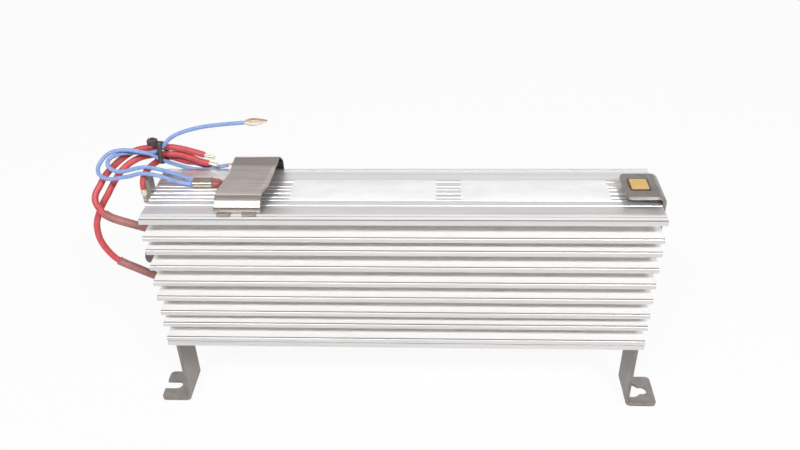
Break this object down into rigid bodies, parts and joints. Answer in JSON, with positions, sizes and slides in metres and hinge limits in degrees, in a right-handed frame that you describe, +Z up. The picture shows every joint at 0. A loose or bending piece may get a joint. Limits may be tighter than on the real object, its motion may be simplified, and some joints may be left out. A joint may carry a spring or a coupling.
{
  "type": "aluminium housed power resistor",
  "caption": "Finned aluminium extrusion with a sealed resistance element, thermostat under a spring clip, tied flying leads and end brackets with fixing slots.",
  "frame": {"origin": "midway between the two feet, on the surface that they stand on", "axes": "+X along the body away from the leads, +Y through the body to its rear side, +Z up"},
  "size_m": [0.2548, 0.0459, 0.1406],
  "materials": {
    "extrusion": "plain extruded mill finish with fine die lines",
    "mica": "matt laminated mica",
    "ribbon": "oxidised resistance ribbon",
    "potting": "matt cast compound",
    "dark_ceramic": "matt dark ceramic",
    "crimp": "tinned crimp",
    "bracket_steel": "rolled stainless strip",
    "screw_steel": "zinc plated",
    "can_metal": "drawn nickel-plated can",
    "resin": "cast epoxy",
    "clip_steel": "cross-brushed spring steel",
    "white_label": "satin film",
    "dark_label": "satin film",
    "amber_label": "satin film",
    "glass_sleeve": "braided glass sleeving with silicone",
    "red_silicone": "satin silicone insulation",
    "tinned": "tin plated",
    "cream_sleeve": "satin",
    "blue_insulation": "gloss insulation",
    "bare_copper": "stranded conductor",
    "tie_plastic": "moulded polyamide"
  },
  "bodies": {
    "root": {"housing": "extrusion", "winding_card": "mica", "resistance_winding": "ribbon", "mica_sheet_front": "mica", "mica_sheet_rear": "mica", "end_seal_left": "potting", "end_seal_right": "potting", "ceramic_stub": "dark_ceramic", "splice_upper": "crimp", "splice_lower": "crimp", "left_bracket": "bracket_steel", "right_bracket": "bracket_steel", "bracket_screws": "screw_steel", "thermostat_can": "can_metal", "thermostat_resin": "resin", "spring_clip": "clip_steel", "label_left": "white_label", "label_right": "white_label", "amber_label": "dark_label", "amber_label_field": "amber_label", "sleeve_upper": "glass_sleeve", "sleeve_lower": "glass_sleeve", "power_lead_upper": "red_silicone", "power_lead_lower": "red_silicone", "earth_lead": "red_silicone", "earth_lug": "tinned", "lug_sleeve": "cream_sleeve", "thermostat_lead_long": "blue_insulation", "thermostat_lead_short": "blue_insulation", "bare_ends": "bare_copper", "cable_tie": "tie_plastic"}
  },
  "joints": []
}
